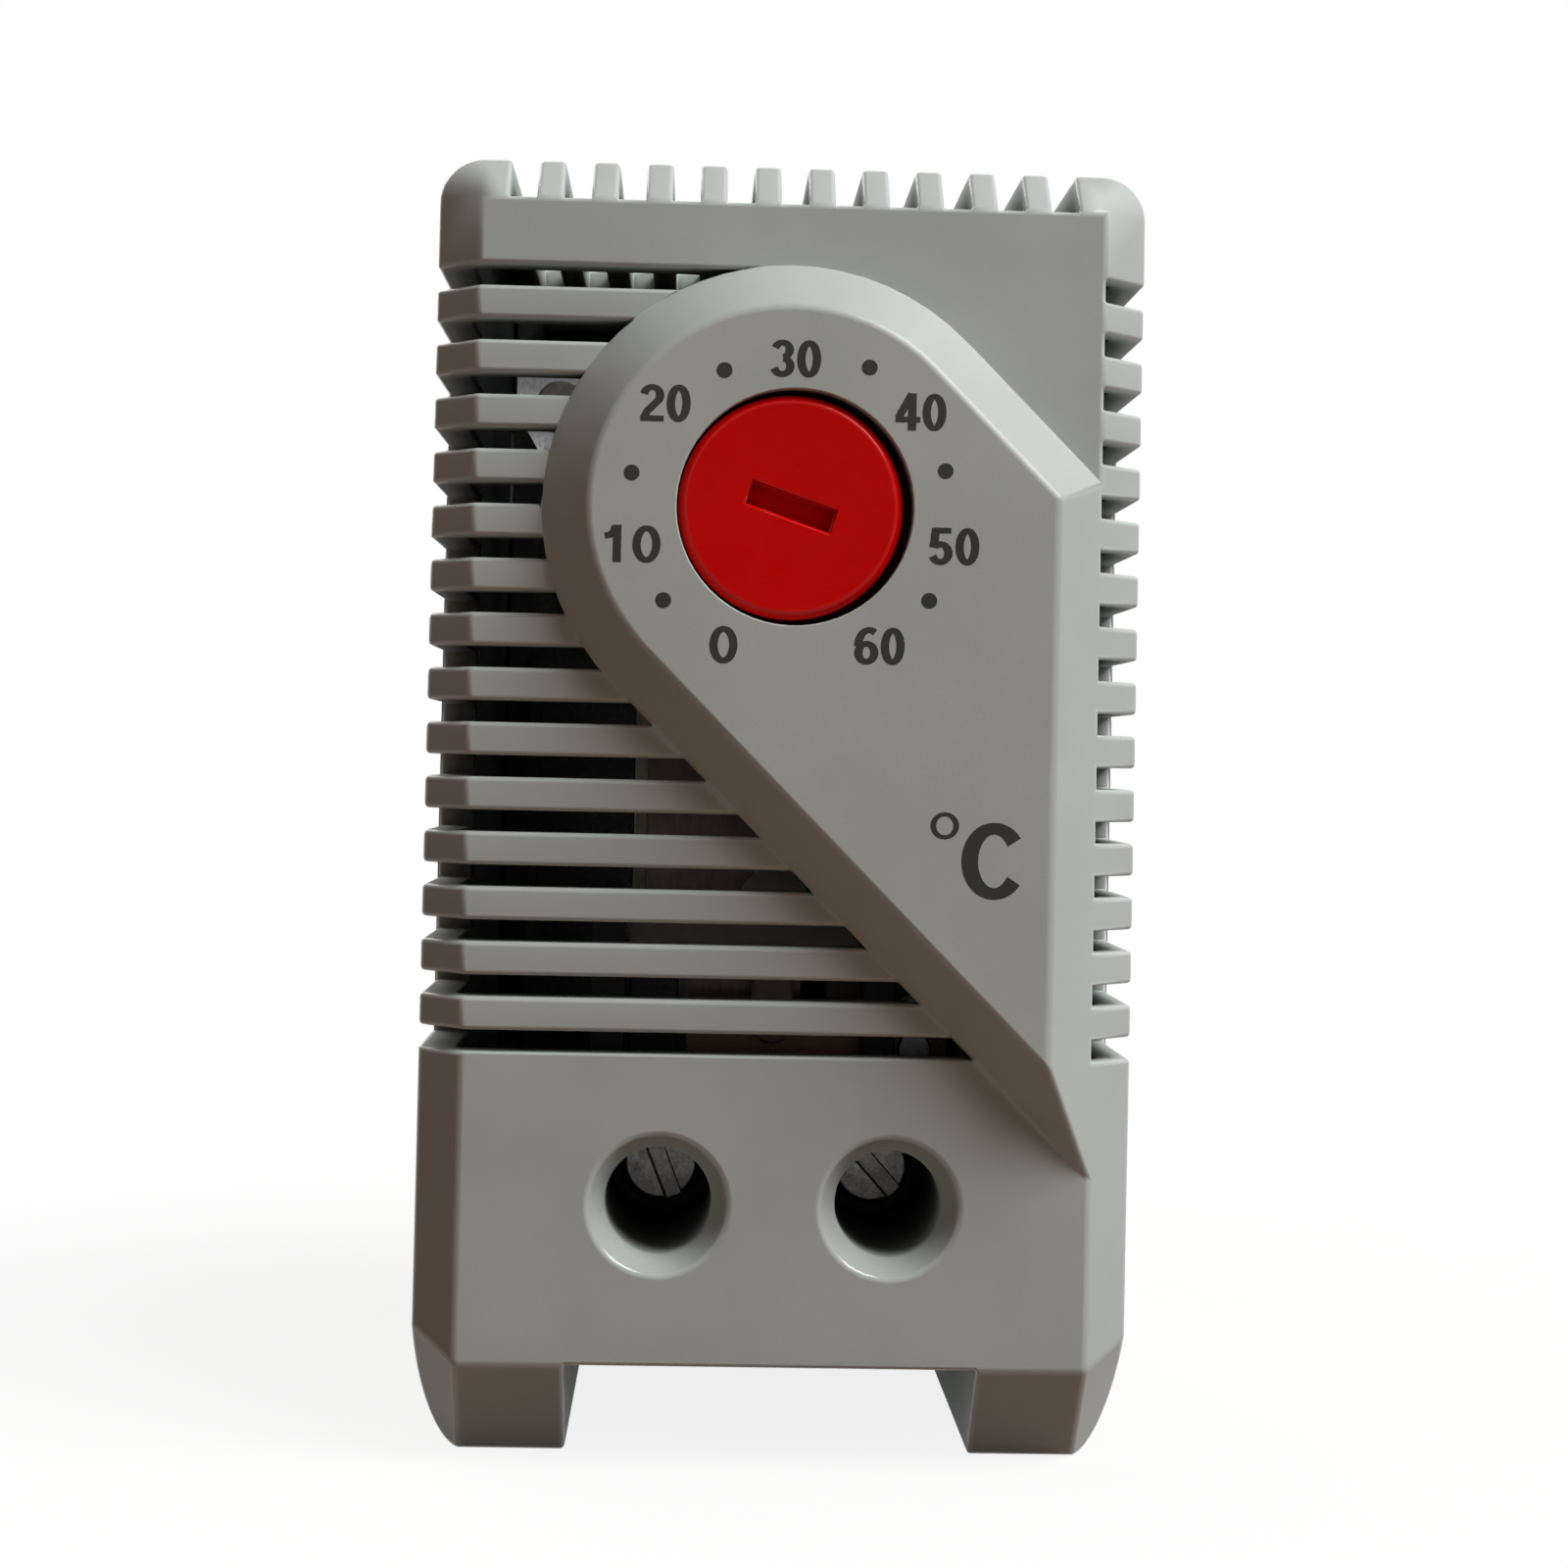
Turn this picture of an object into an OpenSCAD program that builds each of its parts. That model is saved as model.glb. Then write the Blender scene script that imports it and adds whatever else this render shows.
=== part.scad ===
// Compact thermostat for a 35 mm rail: X to the right, the face towards -Y, Z up.
// The origin is the middle of the seat that rests on the rail.

/* [Housing] */
// Width of the housing
case_w = 33; // [33:0.5:40]
// Height of the housing, feet included
case_h = 60; // [60:0.5:66]
// Depth from the rail seat to the front face
case_d = 36.8; // [36.8:0.2:42]
// Thickness of the side and top walls
side_wall = 1.8; // [1.6:0.1:1.9]
// Thickness of the front wall
front_wall = 2; // [1.8:0.1:2.2]
// Chamfer along the sides and the top of the front face, and radius of the top corners
edge_chamfer = 2.1; // [1.6:0.1:2.4]

/* [Feet] */
// Height of the feet below the front face
foot_h = 4.67; // [4.3:0.1:5]
// Depth of the sloping front of the feet
foot_slope_d = 3.7; // [3:0.1:4.5]
// Height of the rounding at the outer side of a foot
foot_round_h = 6; // [5:0.25:6.5]
// Width of the wire channel between the feet
foot_gap_w = 18.8; // [17:0.2:20]

/* [Vents] */
// Pitch of the vent slots, sides and top
vent_pitch = 2.5; // [2.5:0.05:2.6]
// Height of a side slot
side_slot_h = 1; // [0.8:0.05:1.2]
// Height of the lowest side slot above the low edge of the front face
side_slot_rise = 14.13; // [13.93:0.1:14.53]
// Least height of the solid band above the side slots
vent_band = 3; // [2.6:0.1:3]
// Depth of a side slot, from the front face
side_slot_d = 9.5; // [7:0.25:12]
// Width of a top slot
top_slot_w = 1.27; // [1:0.05:1.4]
// Number of top slots
top_slots = 11; // [7:2:11]
// Solid strip behind the top slots
top_slot_rest = 6; // [5:0.5:10]

/* [Dial] */
// Distance of the dial's axis below the top edge of the front face
dial_drop = 14.15; // [13.9:0.05:14.6]
// Radius of the raised panel's round end at the front face
panel_r = 11.3; // [10.8:0.1:11.6]
// Width of the panel's bevel
panel_bevel = 2.2; // [1.8:0.1:2.4]
// Height of the panel above the front face
panel_rise = 2.2; // [2:0.1:2.4]
// Radius of the dial knob
knob_r = 5.1; // [4.8:0.05:5.3]
// Gap round the knob in the panel
knob_gap = 0.25; // [0.15:0.05:0.3]
// Share of that gap by which the opening sits right of the knob's axis
opening_off_share = 0.8; // [0:0.1:0.8]
// Depth of the knob's face below the panel
knob_sink = 0.2; // [0:0.05:0.4]
// Length of the knob's screwdriver slot
knob_slot_l = 4; // [3.4:0.1:5]
// Width of the knob's screwdriver slot
knob_slot_w = 1; // [0.8:0.05:1.2]
// Depth of the knob's screwdriver slot
knob_slot_d = 0.9; // [0.6:0.05:1.1]
// Tilt of the slot at rest, left end up
knob_tilt = 18.5; // [0:0.5:40]
// Turn of the dial between its stops
dial_span = 300; // [270:5:300]
// Rise of the cam over the dial's turn
cam_rise = 1.2; // [0.8:0.1:1.4]

/* [Terminals] */
// Distance of a terminal from the middle of the housing
term_x = 5.29; // [5.2:0.05:5.4]
// Height of the terminals above the low edge of the front face
term_rise = 7.33; // [7.13:0.05:7.53]
// Radius of a terminal well
well_r = 2.45; // [2.3:0.05:2.5]
// Radius of the well's countersink at the front face
well_mouth_r = 3.2; // [3:0.05:3.4]
// Radius of the terminal screw's shank
screw_r = 1.45; // [1.3:0.05:1.5]
// Radius of the terminal screw's head
screw_head_r = 2; // [1.75:0.05:2.1]
// Height of the terminal screw's head
screw_head_h = 2; // [1.6:0.1:2.2]
// Radius of the wire entries
wire_r = 1.7; // [1.4:0.05:1.8]

/* [Rail] */
// Width of the rail
rail_w = 35; // [34.5:0.1:35.5]
// Room between the seat and the lips of the hooks
lip_gap = 1.25; // [1.15:0.05:1.5]
// Reach of a lip over the rail's edge
lip_reach = 2.9; // [2:0.1:3.2]
// Height of the hooks above the seat
hook_d = 4; // [3.6:0.1:4.4]
// Travel of the latch
latch_travel = 3.6; // [3.4:0.1:3.8]

/* [Hidden] */
$fn = 64;

// Shared small values
overrun = 1;
touch_gap = 0.15;
free_gap = 0.3;
shaft_gap = 0.05;
hull_sides = 64;

// Housing
half_w = case_w / 2;
half_h = case_h / 2;
face_y = -case_d;
panel_y = face_y - panel_rise;
face_half_w = half_w - edge_chamfer;
face_top_z = half_h - edge_chamfer;
face_low_z = -half_h + foot_h;
foot_round_z = -half_h + foot_round_h;
foot_lean = foot_slope_d / foot_h;
side_lean = 1 + foot_lean * (foot_round_h - foot_h) / edge_chamfer;
corner_steps = 16;
base_t = 4;
shell_back_y = -base_t;
room_x = half_w - side_wall;
room_front_y = face_y + front_wall;
room_top_z = half_h - side_wall;
room_low_z = face_low_z + side_wall;
dial_z = face_top_z - dial_drop;
term_z = face_low_z + term_rise;
side_slot_z = face_low_z + side_slot_rise;
side_slots = floor((face_top_z - vent_band - side_slot_h - side_slot_z) / vent_pitch) + 1;
foot_core_wall = 1.7;
foot_core_side = 2.1;
foot_front_wall = 0.8;
foot_core_d = foot_slope_d + foot_front_wall;
panel_skin = 0.02;

// Snap fit between shell and base
rim_gap = 0.15;
rim_wall = 1.5;
rim_l = 4;
rim_front_y = shell_back_y - rim_l;
tab_w = 5;
tab_inset_top = 10.2;
tab_inset_low = 6.53;
tab_z = [room_top_z - tab_inset_top, room_low_z + tab_inset_low];
tab_back = 1.8;
tab_d = 1.6;
tab_lead = 1;
tab_reach = rim_gap + side_wall / 2;
window_gap = 0.2;
rear_slot_h = 4;
rear_slot_drop = 2.6;

// Terminals, placed from the back of the housing
cage_travel = 2;
cage_front_t = 1.6;
cage_back_t = 1.4;
cage_side_t = 0.8;
cage_h = 6.4;
cage_back_room = 4.25;
cage_back_y = shell_back_y - cage_back_room;
bar_t = 0.8;
bar_w = 4;
bar_side_gap = 0.3;
bar_front_room = 2.6;
wire_room = 3;
cage_in_w = bar_w + 2 * bar_side_gap;
cage_w = cage_in_w + 2 * cage_side_t;
bar_back_y = cage_back_y - cage_back_t - wire_room;
bar_front_y = bar_back_y - bar_t;
bar_tail = 1.4;
bar_low_z = term_z - cage_h / 2 - bar_tail;
cage_front_y = bar_front_y - bar_front_room - cage_front_t;
carrier_back_y = cage_front_y - cage_travel - free_gap;
carrier_t = 1.3;
carrier_front_y = carrier_back_y - carrier_t;
carrier_half_w = 10;
head_back_y = carrier_front_y - shaft_gap;
head_front_y = head_back_y - screw_head_h;
well_wall = 0.9;
well_back_y = head_front_y - free_gap;
well_mouth_d = 1.4;
screw_tip_y = bar_front_y - shaft_gap;
screw_tip_edge = 0.3;
head_edge = 0.25;
head_slot_w = 0.8;
head_slot_d = 0.9;
head_lean = [-22, -42];
wire_y = bar_back_y + wire_room / 2;
floor_gap = 0.4;
floor_t = 1.3;
floor_low_z = term_z + cage_h / 2 + floor_gap;
floor_top_z = floor_low_z + floor_t;

// Dial train along Y
knob_face_y = panel_y + knob_sink;
knob_edge = 0.3;
knob_flange_r = 6.5;
knob_flange_t = 1.2;
pocket_r = 7.2;
pocket_d = 1.6;
pocket_floor_y = room_front_y - pocket_d;
flange_front_y = pocket_floor_y + free_gap;
flange_back_y = flange_front_y + knob_flange_t;
plate_front_y = flange_back_y + free_gap;
plate_t = 2;
plate_back_y = plate_front_y + plate_t;
journal_r = 3;
stub_r = 2;
stub_flat = 1.5;
stub_l = 2.4;
cam_front_y = plate_back_y + free_gap;
cam_t = 2;
cam_disc_y = cam_front_y + cam_t;
cam_r = 6.4;
ramp_in_r = 4.4;
ramp_out_r = 6.1;
ramp_mid_r = (ramp_out_r + ramp_in_r) / 2;
ramp_margin = 10;
ramp_steps = 40;
ramp_base_h = 0.2;
lug_r = 7.5;
lug_turn = 20;
stop_in_r = cam_r + free_gap;
stop_out_r = 8;
stop_gap_turn = 1;
stop_turn = 360 - dial_span - lug_turn - 2 * stop_gap_turn;
// Turns are counted clockwise from the top, seen from the front
dial_low_turn = -dial_span / 2;
dial_rest_turn = knob_tilt - 90;
dial_back_turn = dial_rest_turn - dial_low_turn;
nose_turn = 180;
lug_rest_turn = (360 - dial_span) / 2 + dial_back_turn;
ramp_low_turn = nose_turn - (dial_span - dial_back_turn);
ramp_rest_h = ramp_base_h + cam_rise * (nose_turn - ramp_low_turn) / dial_span;

// Setting lever
leaf_rise = 2.1;
leaf_z = floor_top_z + leaf_rise;
nub_arm = 5;
spring_arm = 9;
lever_t = 1.6;
lever_offset = 3;
lever_y = cam_disc_y + lever_offset;
lever_z = leaf_z + nub_arm;
pivot_r = 0.8;
lever_back_y = lever_y + lever_t / 2;
lever_front_y = lever_y - lever_t / 2;
lever_left_x = -7;
lever_right_x = 4.2;
ear_t = 1.6;
ear_gap = 0.2;
ear_wall = 0.65;
ear_half_d = pivot_r + shaft_gap + ear_wall;
boss_r = 1.8;
boss_rise = 1.2;
boss_z = lever_z + boss_rise;
arm_half_w = 1;
nose_z = dial_z - ramp_mid_r;
nose_r = 0.8;
nose_tip_r = 0.5;
nose_tip_l = 0.3;
nose_y = cam_disc_y + ramp_rest_h + touch_gap;
tip_r = 1;
tip_rise = 0.5;
tip_z = leaf_z + tip_rise;
nub_r = 0.45;
leaf_gap = 1.05;
leaf_front_y = lever_back_y + leaf_gap;
nub_back_y = leaf_front_y - touch_gap;
spring_x = 4.2;
spring_z = lever_z + spring_arm;
spring_pad = 3.4;
arm_top_z = max(nose_z + nose_r, spring_z + spring_pad / 2);

// Contact leaf and contacts
leaf_t = 0.3;
leaf_h = 3;
web_gap = 1;
web_x = stop_out_r + web_gap;
leaf_right_x = web_x - ear_gap;
leaf_root_w = 2.3;
leaf_pivot_x = leaf_right_x - leaf_root_w;
strip_x0 = -6.4;
strip_w = 8;
strip_x1 = strip_x0 + strip_w;
contact_x = (strip_x0 + strip_x1) / 2;
leaf_end_w = 1.8;
leaf_left_x = contact_x - leaf_end_w;
leaf_back_y = leaf_front_y + leaf_t;
contact_r = 1.1;
contact_edge = 0.25;
contact_t = 0.7;
contact_gap = 0.75;
root_gap = 0.1;
rivet_r = 0.4;
rivet_hole_r = 0.6;
rivet_head_r = 0.8;
rivet_head_h = 0.35;
leaf_rivet_x = leaf_right_x - bar_t - rivet_head_r - shaft_gap;
leaf_rivet_step = 1.7;

// Bimetal strip
strip_t = 0.6;
strip_front_y = leaf_back_y + 2 * contact_t + contact_gap;
strip_back_y = strip_front_y + strip_t;
strip_low_z = floor_top_z + floor_gap;
bracket_top_room = 4.8;
bracket_top_z = room_top_z - bracket_top_room;
bracket_bar_h = 4;
bend_z = bracket_top_z - bracket_bar_h;
strip_root_h = 3;
strip_top_z = bend_z + strip_root_h;
strip_rivet_z = bend_z + strip_root_h / 2;
strip_rivet_step = 4;

// Bracket of the strip
bracket_t = 0.9;
bracket_y = strip_back_y + shaft_gap;
bracket_back_y = bracket_y + bracket_t;
bracket_side_gap = 1.1;
bracket_over_w = 0.8;
bracket_foot_h = 3;
bracket_x0 = -room_x + bracket_side_gap;
bracket_x1 = strip_x1 + bracket_over_w;
bracket_low_z = bend_z - bracket_foot_h;
bracket_lean = 2;
bracket_foot_w = 3.4;
trim_inset = 2.4;
trim_rise = 0.6;
trim_x = bracket_x0 + trim_inset;
trim_z = bend_z + trim_rise;
trim_r = 0.8;
trim_head_r = 1.3;
trim_head_h = 0.9;
trim_l = 3;

// Magnet and its armature
magnet_x = lever_left_x;
magnet_w = 2.4;
magnet_post_h = 2.5;
magnet_z = floor_top_z + magnet_post_h;
magnet_h = 2.8;
magnet_t = 1.6;
magnet_gap = 1.3;
armature_t = 0.5;
magnet_back_y = strip_front_y - armature_t - magnet_gap;
magnet_front_y = magnet_back_y - magnet_t;

// Inner frame
plate_over_w = 0.6;
web_t = 1.6;
frame_low_z = room_low_z + free_gap;
frame_half_w = room_x - rim_gap - rim_wall - free_gap;
frame_back_y = shell_back_y - touch_gap;
frame_top_z = dial_z + stop_out_r + free_gap;
frame_plate_x = lever_left_x - plate_over_w;
frame_plate_low_z = dial_z - stop_out_r - free_gap;
web_window_rim = 3;
lever_spring_l = 6.5;
seat_y = lever_back_y + lever_spring_l;
seat_t = 1.5;
peg_r = 0.7;
peg_l = 1.2;

// Rail side
pad_rise = 0.15;
pad_half_h = 14;
pad_edge = 0.5;
back_y = -pad_rise;
rail_gap = 0.2;
hook_shoulder_z = rail_w / 2 + rail_gap;
hook_t = 2.8;
hook_w = 20;
hook_lead = 0.6;
hook_round = 0.8;
latch_wide = 14;
latch_narrow = 10;
latch_rise = 0.5;
latch_low_z = -half_h + latch_rise;
latch_flange_low_z = face_low_z + latch_rise;
latch_sink = 0.2;
latch_back_y = back_y - latch_sink;
latch_hook_d = hook_d - latch_sink;
channel_d = 2.65;
channel_lip_t = 1.35;
channel_floor_y = back_y - channel_d;
channel_step_y = back_y - channel_lip_t;
slide_gap = 0.15;
post_rise = 4.8;
post_top_z = post_rise - hook_shoulder_z;
post_t = 1.3;
spring_pressed_l = 4.1;
latch_spring_l = latch_travel + spring_pressed_l;
spring_top_z = post_top_z + latch_spring_l;
spring_room_w = 3.2;
latch_head_t = 1.2;
latch_top_z = spring_top_z + latch_head_t;
latch_spring_wire = 0.35;
latch_spring_r = 0.92;
latch_spring_turns = 7;
latch_spring_y = (channel_floor_y + latch_back_y) / 2;
lever_spring_wire = 0.35;
lever_spring_r = 1.15;
lever_spring_turns = 6;
driver_hole_w = 5;
driver_hole_h = 1.6;
driver_hole_rest = 1;

// A flat shape in the XZ plane, given a thickness between two places along Y
module along_y(y0, y1) {
    translate([0, y1, 0]) rotate([90, 0, 0]) linear_extrude(y1 - y0) children();
}

// A flat shape in the YZ plane, given a width about the middle
module across_x(w) {
    translate([-w / 2, 0, 0]) rotate([90, 0, 90]) linear_extrude(w) children();
}

// A round bar along Y, with its own radius at each end
module bar_y(r, y0, y1, x = 0, z = 0, r_front = undef) {
    translate([x, y1, z]) rotate([90, 0, 0])
        cylinder(r1 = r, r2 = is_undef(r_front) ? r : r_front, h = y1 - y0);
}

// A block between two corners
module block(a, b) {
    translate(a) cube(b - a);
}

// A point on a circle, by its clockwise turn from the top
function turn_point(r, turn) = [r * sin(turn), r * cos(turn)];

// A ring sector in the XZ plane
module sector(r0, r1, turn0, turn1, steps = 8) {
    outer = [for (i = [0:steps]) turn_point(r1, turn0 + (turn1 - turn0) * i / steps)];
    inner = [for (i = [steps:-1:0]) turn_point(r0, turn0 + (turn1 - turn0) * i / steps)];
    polygon(concat(outer, inner));
}

// Point i of n on a helix about Z
function helix_point(r, h, turns, i, n) =
    [r * cos(360 * turns * i / n), r * sin(360 * turns * i / n), h * i / n];

// One unbroken tube of six sides along a helix, eight rings to a turn
module helix_tube(r, wire, h, turns) {
    n = 8 * turns;
    sides = 6;
    lean = atan(h / (2 * PI * r * turns));
    rings = [for (i = [0:n]) let (a = 360 * turns * i / n, c = helix_point(r, h, turns, i, n))
        [for (k = [0:sides - 1])
            let (b = 360 * k / sides, out = wire / 2 * cos(b), up = wire / 2 * sin(b))
            c + [out * cos(a) + up * sin(lean) * sin(a), out * sin(a) - up * sin(lean) * cos(a),
                up * cos(lean)]]];
    points = [for (ring = rings) for (p = ring) p];
    walls = [for (i = [0:n - 1]) for (k = [0:sides - 1])
        let (a = i * sides + k, b = i * sides + (k + 1) % sides)
        each [[a, a + sides, b], [b, a + sides, b + sides]]];
    low = [for (k = [1:sides - 2]) [0, k, k + 1]];
    high = [for (k = [1:sides - 2]) [n * sides, n * sides + k + 1, n * sides + k]];
    polyhedron(points, concat(walls, low, high));
}

// Least gap between one turn and the next, on the wire's centre points
function helix_gap(r, wire, h, turns) = let (n = 8 * turns)
    min([for (i = [0:n - 5]) for (j = [i + 5:n])
        norm(helix_point(r, h, turns, i, n) - helix_point(r, h, turns, j, n))]) - wire;

// Right half of the housing's outline from the front, from the foot up: its corners are round about the
// front face's own corners, tall ones at the feet
function half_outline() = let (turns = [for (i = [0:corner_steps]) 90 * i / corner_steps]) concat(
    [for (a = turns) [face_half_w + edge_chamfer * sin(a), foot_round_z - foot_round_h * cos(a)]],
    [for (a = turns) [face_half_w + edge_chamfer * cos(a), face_top_z + edge_chamfer * sin(a)]]);

module case_outline() {
    right = half_outline();
    n = len(right);
    polygon(concat(right, [for (i = [n - 1:-1:0]) [-right[i][0], right[i][1]]]));
}

// Channel for the wires, between the feet
module foot_gap() {
    block([-foot_gap_w / 2, face_y - overrun, -half_h - overrun], [foot_gap_w / 2, overrun, face_low_z]);
}

// Outer side of the right foot: its front lies in one plane from the front face's corner to the foot's
// tip and to the start of the side chamfer
module foot_side() {
    edge = [for (i = [0:corner_steps]) half_outline()[i]];
    n = len(edge);
    front = [for (p = edge)
        [p[0], face_y + side_lean * (p[0] - face_half_w) + foot_lean * (face_low_z - p[1]), p[1]]];
    back = [for (p = edge) [p[0], shell_back_y, p[1]]];
    polyhedron(concat(front, back), concat(
        [[for (i = [0:n - 1]) n - 1 - i]], [[for (i = [0:n - 1]) n + i]],
        [for (i = [0:n - 1]) [i, (i + 1) % n, n + (i + 1) % n, n + i]]));
}

// The shell's outer form: the front face, the top corners as cones, the feet and all that lies between
module case_block() {
    difference() {
        hull() {
            block([-face_half_w, face_y, face_low_z], [face_half_w, shell_back_y, face_top_z]);
            for (s = [-1, 1])
                bar_y(edge_chamfer, face_y + edge_chamfer, shell_back_y, s * face_half_w, face_top_z);
            foot_side();
            mirror([1, 0, 0]) foot_side();
        }
        foot_gap();
    }
}

// The hollow of the shell, with a core in each foot
module shell_room() {
    block([-room_x, room_front_y, room_low_z], [room_x, shell_back_y + overrun, room_top_z]);
    for (s = [-1, 1]) {
        x0 = foot_gap_w / 2 + foot_core_wall;
        x1 = half_w - foot_core_side;
        block([s > 0 ? x0 : -x1, face_y + foot_core_d, -half_h + foot_core_wall],
            [s > 0 ? x1 : -x0, shell_back_y + overrun, room_low_z + overrun]);
    }
}

// Side slots: on the left they also open the front face as far as the panel
module side_vents() {
    for (i = [0:side_slots - 1]) {
        z = side_slot_z + i * vent_pitch;
        reach = z > dial_z ? 0 : face_half_w - side_wall;
        block([-half_w - overrun, face_y - overrun, z], [reach, face_y + side_slot_d, z + side_slot_h]);
        block([face_half_w, face_y - overrun, z],
            [half_w + overrun, face_y + side_slot_d, z + side_slot_h]);
    }
}

module top_vents() {
    for (i = [0:top_slots - 1]) {
        x = (i - (top_slots - 1) / 2) * vent_pitch;
        block([x - top_slot_w / 2, face_y - overrun, face_top_z],
            [x + top_slot_w / 2, -top_slot_rest, half_h + overrun]);
    }
}

// Outline of the raised panel: round about the dial, with two slanting flanks and a straight right edge
module panel_outline(r, edge_x) {
    flank = r / sqrt(2);
    diag = r * sqrt(2);
    translate([0, dial_z]) {
        circle(r, $fn = hull_sides);
        polygon([[-flank, -flank], [flank, flank], [edge_x, diag - edge_x], [edge_x, -diag - edge_x]]);
    }
}

module panel_block() {
    hull() {
        along_y(face_y, room_front_y) panel_outline(panel_r, face_half_w);
        along_y(panel_y, panel_y + panel_skin)
            panel_outline(panel_r - panel_bevel, face_half_w - panel_bevel);
    }
}

module front_shell() {
    color("gainsboro") difference() {
        union() {
            difference() {
                case_block();
                shell_room();
                side_vents();
                top_vents();
            }
            panel_block();
            for (s = [-1, 1])
                bar_y(well_r + well_wall, room_front_y - overrun, well_back_y, s * term_x, term_z);
        }
        dial_holes();
        for (s = [-1, 1]) {
            bar_y(well_r, face_y - overrun, well_back_y + overrun, s * term_x, term_z);
            bar_y(well_r, face_y, face_y + well_mouth_d, s * term_x, term_z, well_mouth_r);
            translate([s * term_x, wire_y, face_low_z - overrun])
                cylinder(r = wire_r, h = side_wall + 2 * overrun);
            for (z = tab_z)
                block([s > 0 ? room_x - overrun : -half_w - overrun,
                        shell_back_y - tab_back - tab_d - window_gap, z - tab_w / 2 - window_gap],
                    [s > 0 ? half_w + overrun : -room_x + overrun,
                        shell_back_y - tab_back + window_gap, z + tab_w / 2 + window_gap]);
        }
    }
}

// Round opening for the knob and the pocket for its flange
module dial_holes() {
    bar_y(knob_r + knob_gap, panel_y - overrun, room_front_y, knob_gap * opening_off_share, dial_z);
    bar_y(pocket_r, pocket_floor_y, room_front_y + overrun, 0, dial_z);
}

// Slot of the rail latch in the base, wide inside and narrow at the seat
module latch_channel() {
    top_z = latch_top_z + slide_gap;
    wide = latch_wide / 2 + slide_gap;
    narrow = latch_narrow / 2 + slide_gap;
    block([-wide, channel_floor_y, -half_h - overrun], [wide, channel_step_y, top_z]);
    block([-narrow, channel_step_y, -half_h - overrun], [narrow, overrun, top_z]);
}

module rear_base() {
    rim_x = room_x - rim_gap;
    rim_low_z = room_low_z + rim_gap;
    rim_top_z = room_top_z - rim_gap;
    post_half_w = spring_room_w / 2 - slide_gap;
    color("gainsboro") {
        difference() {
            union() {
                along_y(shell_back_y, back_y) case_outline();
                block([-half_w + pad_edge, back_y - overrun, -pad_half_h],
                    [half_w - pad_edge, 0, pad_half_h]);
                difference() {
                    block([-rim_x, rim_front_y, rim_low_z], [rim_x, shell_back_y + overrun, rim_top_z]);
                    block([-rim_x + rim_wall, rim_front_y - overrun, rim_low_z + rim_wall],
                        [rim_x - rim_wall, shell_back_y, rim_top_z - rim_wall]);
                }
                for (s = [-1, 1], z = tab_z) snap_tab(s, rim_x, z);
            }
            foot_gap();
            latch_channel();
            rear_vents();
        }
        block([-post_half_w, channel_floor_y - overrun / 2, post_top_z - post_t],
            [post_half_w, latch_back_y, post_top_z]);
        across_x(hook_w)
            hook_side(hook_shoulder_z, hook_shoulder_z - lip_reach, hook_t, hook_d, back_y - overrun);
    }
}

// Wedge on the rim that snaps into a window of the shell
module snap_tab(s, rim_x, z) {
    back = shell_back_y - tab_back;
    inner = rim_x - overrun;
    tip = rim_x + tab_reach;
    translate([0, 0, z - tab_w / 2]) linear_extrude(tab_w)
        polygon([[s * inner, back - tab_d], [s * rim_x, back - tab_d], [s * tip, back - tab_d + tab_lead],
            [s * tip, back], [s * inner, back]]);
}

// Slots in the back, above the rail's hook
module rear_vents() {
    top = room_top_z - rear_slot_drop;
    for (i = [0:top_slots - 1]) {
        x = (i - (top_slots - 1) / 2) * vent_pitch;
        block([x - top_slot_w / 2, shell_back_y - overrun, top - rear_slot_h],
            [x + top_slot_w / 2, overrun, top]);
    }
}

// Side view of a rail hook that reaches from its shoulder to its tip, as Y and Z
module hook_side(shoulder, tip, thick, depth, root_y) {
    s = sign(tip - shoulder);
    polygon([
        [root_y, shoulder],
        [lip_gap, shoulder],
        [lip_gap, tip - s * hook_lead],
        [lip_gap + hook_lead, tip],
        [depth, tip],
        [depth, shoulder - s * (thick - hook_round)],
        [depth - hook_round, shoulder - s * thick],
        [root_y, shoulder - s * thick]]);
}

module rail_latch() {
    wide_y = channel_floor_y + slide_gap;
    step_y = channel_step_y - slide_gap;
    color("lightgray") difference() {
        union() {
            block([-latch_wide / 2, wide_y, latch_flange_low_z], [latch_wide / 2, step_y, latch_top_z]);
            block([-latch_narrow / 2, wide_y, latch_low_z], [latch_narrow / 2, latch_back_y, latch_top_z]);
            across_x(latch_narrow)
                hook_side(-hook_shoulder_z, -hook_shoulder_z + lip_reach, hook_t, latch_hook_d, wide_y);
        }
        block([-spring_room_w / 2, -case_d, post_top_z - post_t - slide_gap],
            [spring_room_w / 2, latch_back_y + overrun / 2, spring_top_z]);
        block([-driver_hole_w / 2, -case_d, latch_low_z + driver_hole_rest],
            [driver_hole_w / 2, overrun, latch_low_z + driver_hole_rest + driver_hole_h]);
    }
}

module latch_spring() {
    h = latch_spring_l - latch_spring_wire - 2 * shaft_gap;
    echo(latch_spring_gap = helix_gap(latch_spring_r, latch_spring_wire, h, latch_spring_turns));
    color("silver") translate([0, latch_spring_y, post_top_z + latch_spring_wire / 2 + shaft_gap])
        helix_tube(latch_spring_r, latch_spring_wire, h, latch_spring_turns);
}

module lever_spring() {
    h = lever_spring_l - lever_spring_wire - 2 * shaft_gap;
    echo(lever_spring_gap = helix_gap(lever_spring_r, lever_spring_wire, h, lever_spring_turns));
    color("silver") translate([spring_x, seat_y - lever_spring_wire / 2 - shaft_gap, spring_z])
        rotate([90, 0, 0]) helix_tube(lever_spring_r, lever_spring_wire, h, lever_spring_turns);
}

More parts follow.
